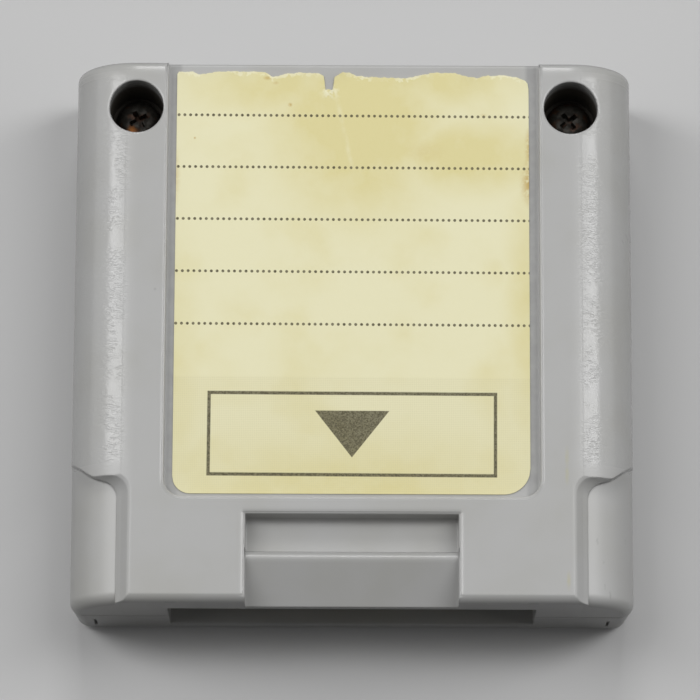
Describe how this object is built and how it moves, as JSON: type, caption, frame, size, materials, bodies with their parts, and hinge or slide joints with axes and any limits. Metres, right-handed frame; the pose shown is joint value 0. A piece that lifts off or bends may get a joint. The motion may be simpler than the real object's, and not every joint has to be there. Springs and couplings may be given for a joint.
{
  "type": "console memory card",
  "caption": "Flat grey plug-in memory card with rolled grip sides, a recessed paper label, a latch ramp above an edge-connector mouth, guide steps at the front corners and deep screw wells.",
  "frame": {"origin": "centre of the flat rear face, on the surface the card lies on", "axes": "+X to the right as the label is read, +Y from the connector mouth towards the screw end, +Z out of the label face"},
  "size_m": [0.064, 0.063, 0.0176],
  "materials": {
    "case_plastic": "satin light grey moulding with fine grain and handling scuffs",
    "label_paper": "aged cream paper with dotted writing lines, torn at the back edge",
    "screw_steel": "dull plated steel with rust spots",
    "board_laminate": "green coated glass laminate",
    "contact_gold": "thin gold plating with wiping marks",
    "chip_black": "fine matt moulding compound",
    "tinned_metal": "dull tin plating",
    "cell_steel": "fine brushed nickel-plated steel",
    "capacitor_ceramic": "plain tan ceramic",
    "resistor_ceramic": "black glazed film on ceramic",
    "tantalum_resin": "yellow moulded resin with a dark end band"
  },
  "bodies": {
    "root": {"front_shell": "case_plastic", "rear_shell": "case_plastic", "label": "label_paper", "case_screws": "screw_steel", "circuit_board": "board_laminate", "front_contacts": "contact_gold", "rear_contacts": "contact_gold", "memory_chip": "chip_black", "memory_chip_legs": "tinned_metal", "decoder_chip": "chip_black", "decoder_chip_legs": "tinned_metal", "power_chip": "chip_black", "power_chip_legs": "tinned_metal", "coin_cell": "cell_steel", "cell_lower_tab": "tinned_metal", "cell_upper_tab": "tinned_metal", "ceramic_capacitors": "capacitor_ceramic", "capacitor_ends": "tinned_metal", "chip_resistors": "resistor_ceramic", "resistor_ends": "tinned_metal", "tantalum_capacitor": "tantalum_resin", "tantalum_terminals": "tinned_metal", "diode": "chip_black", "diode_legs": "tinned_metal"}
  },
  "joints": []
}
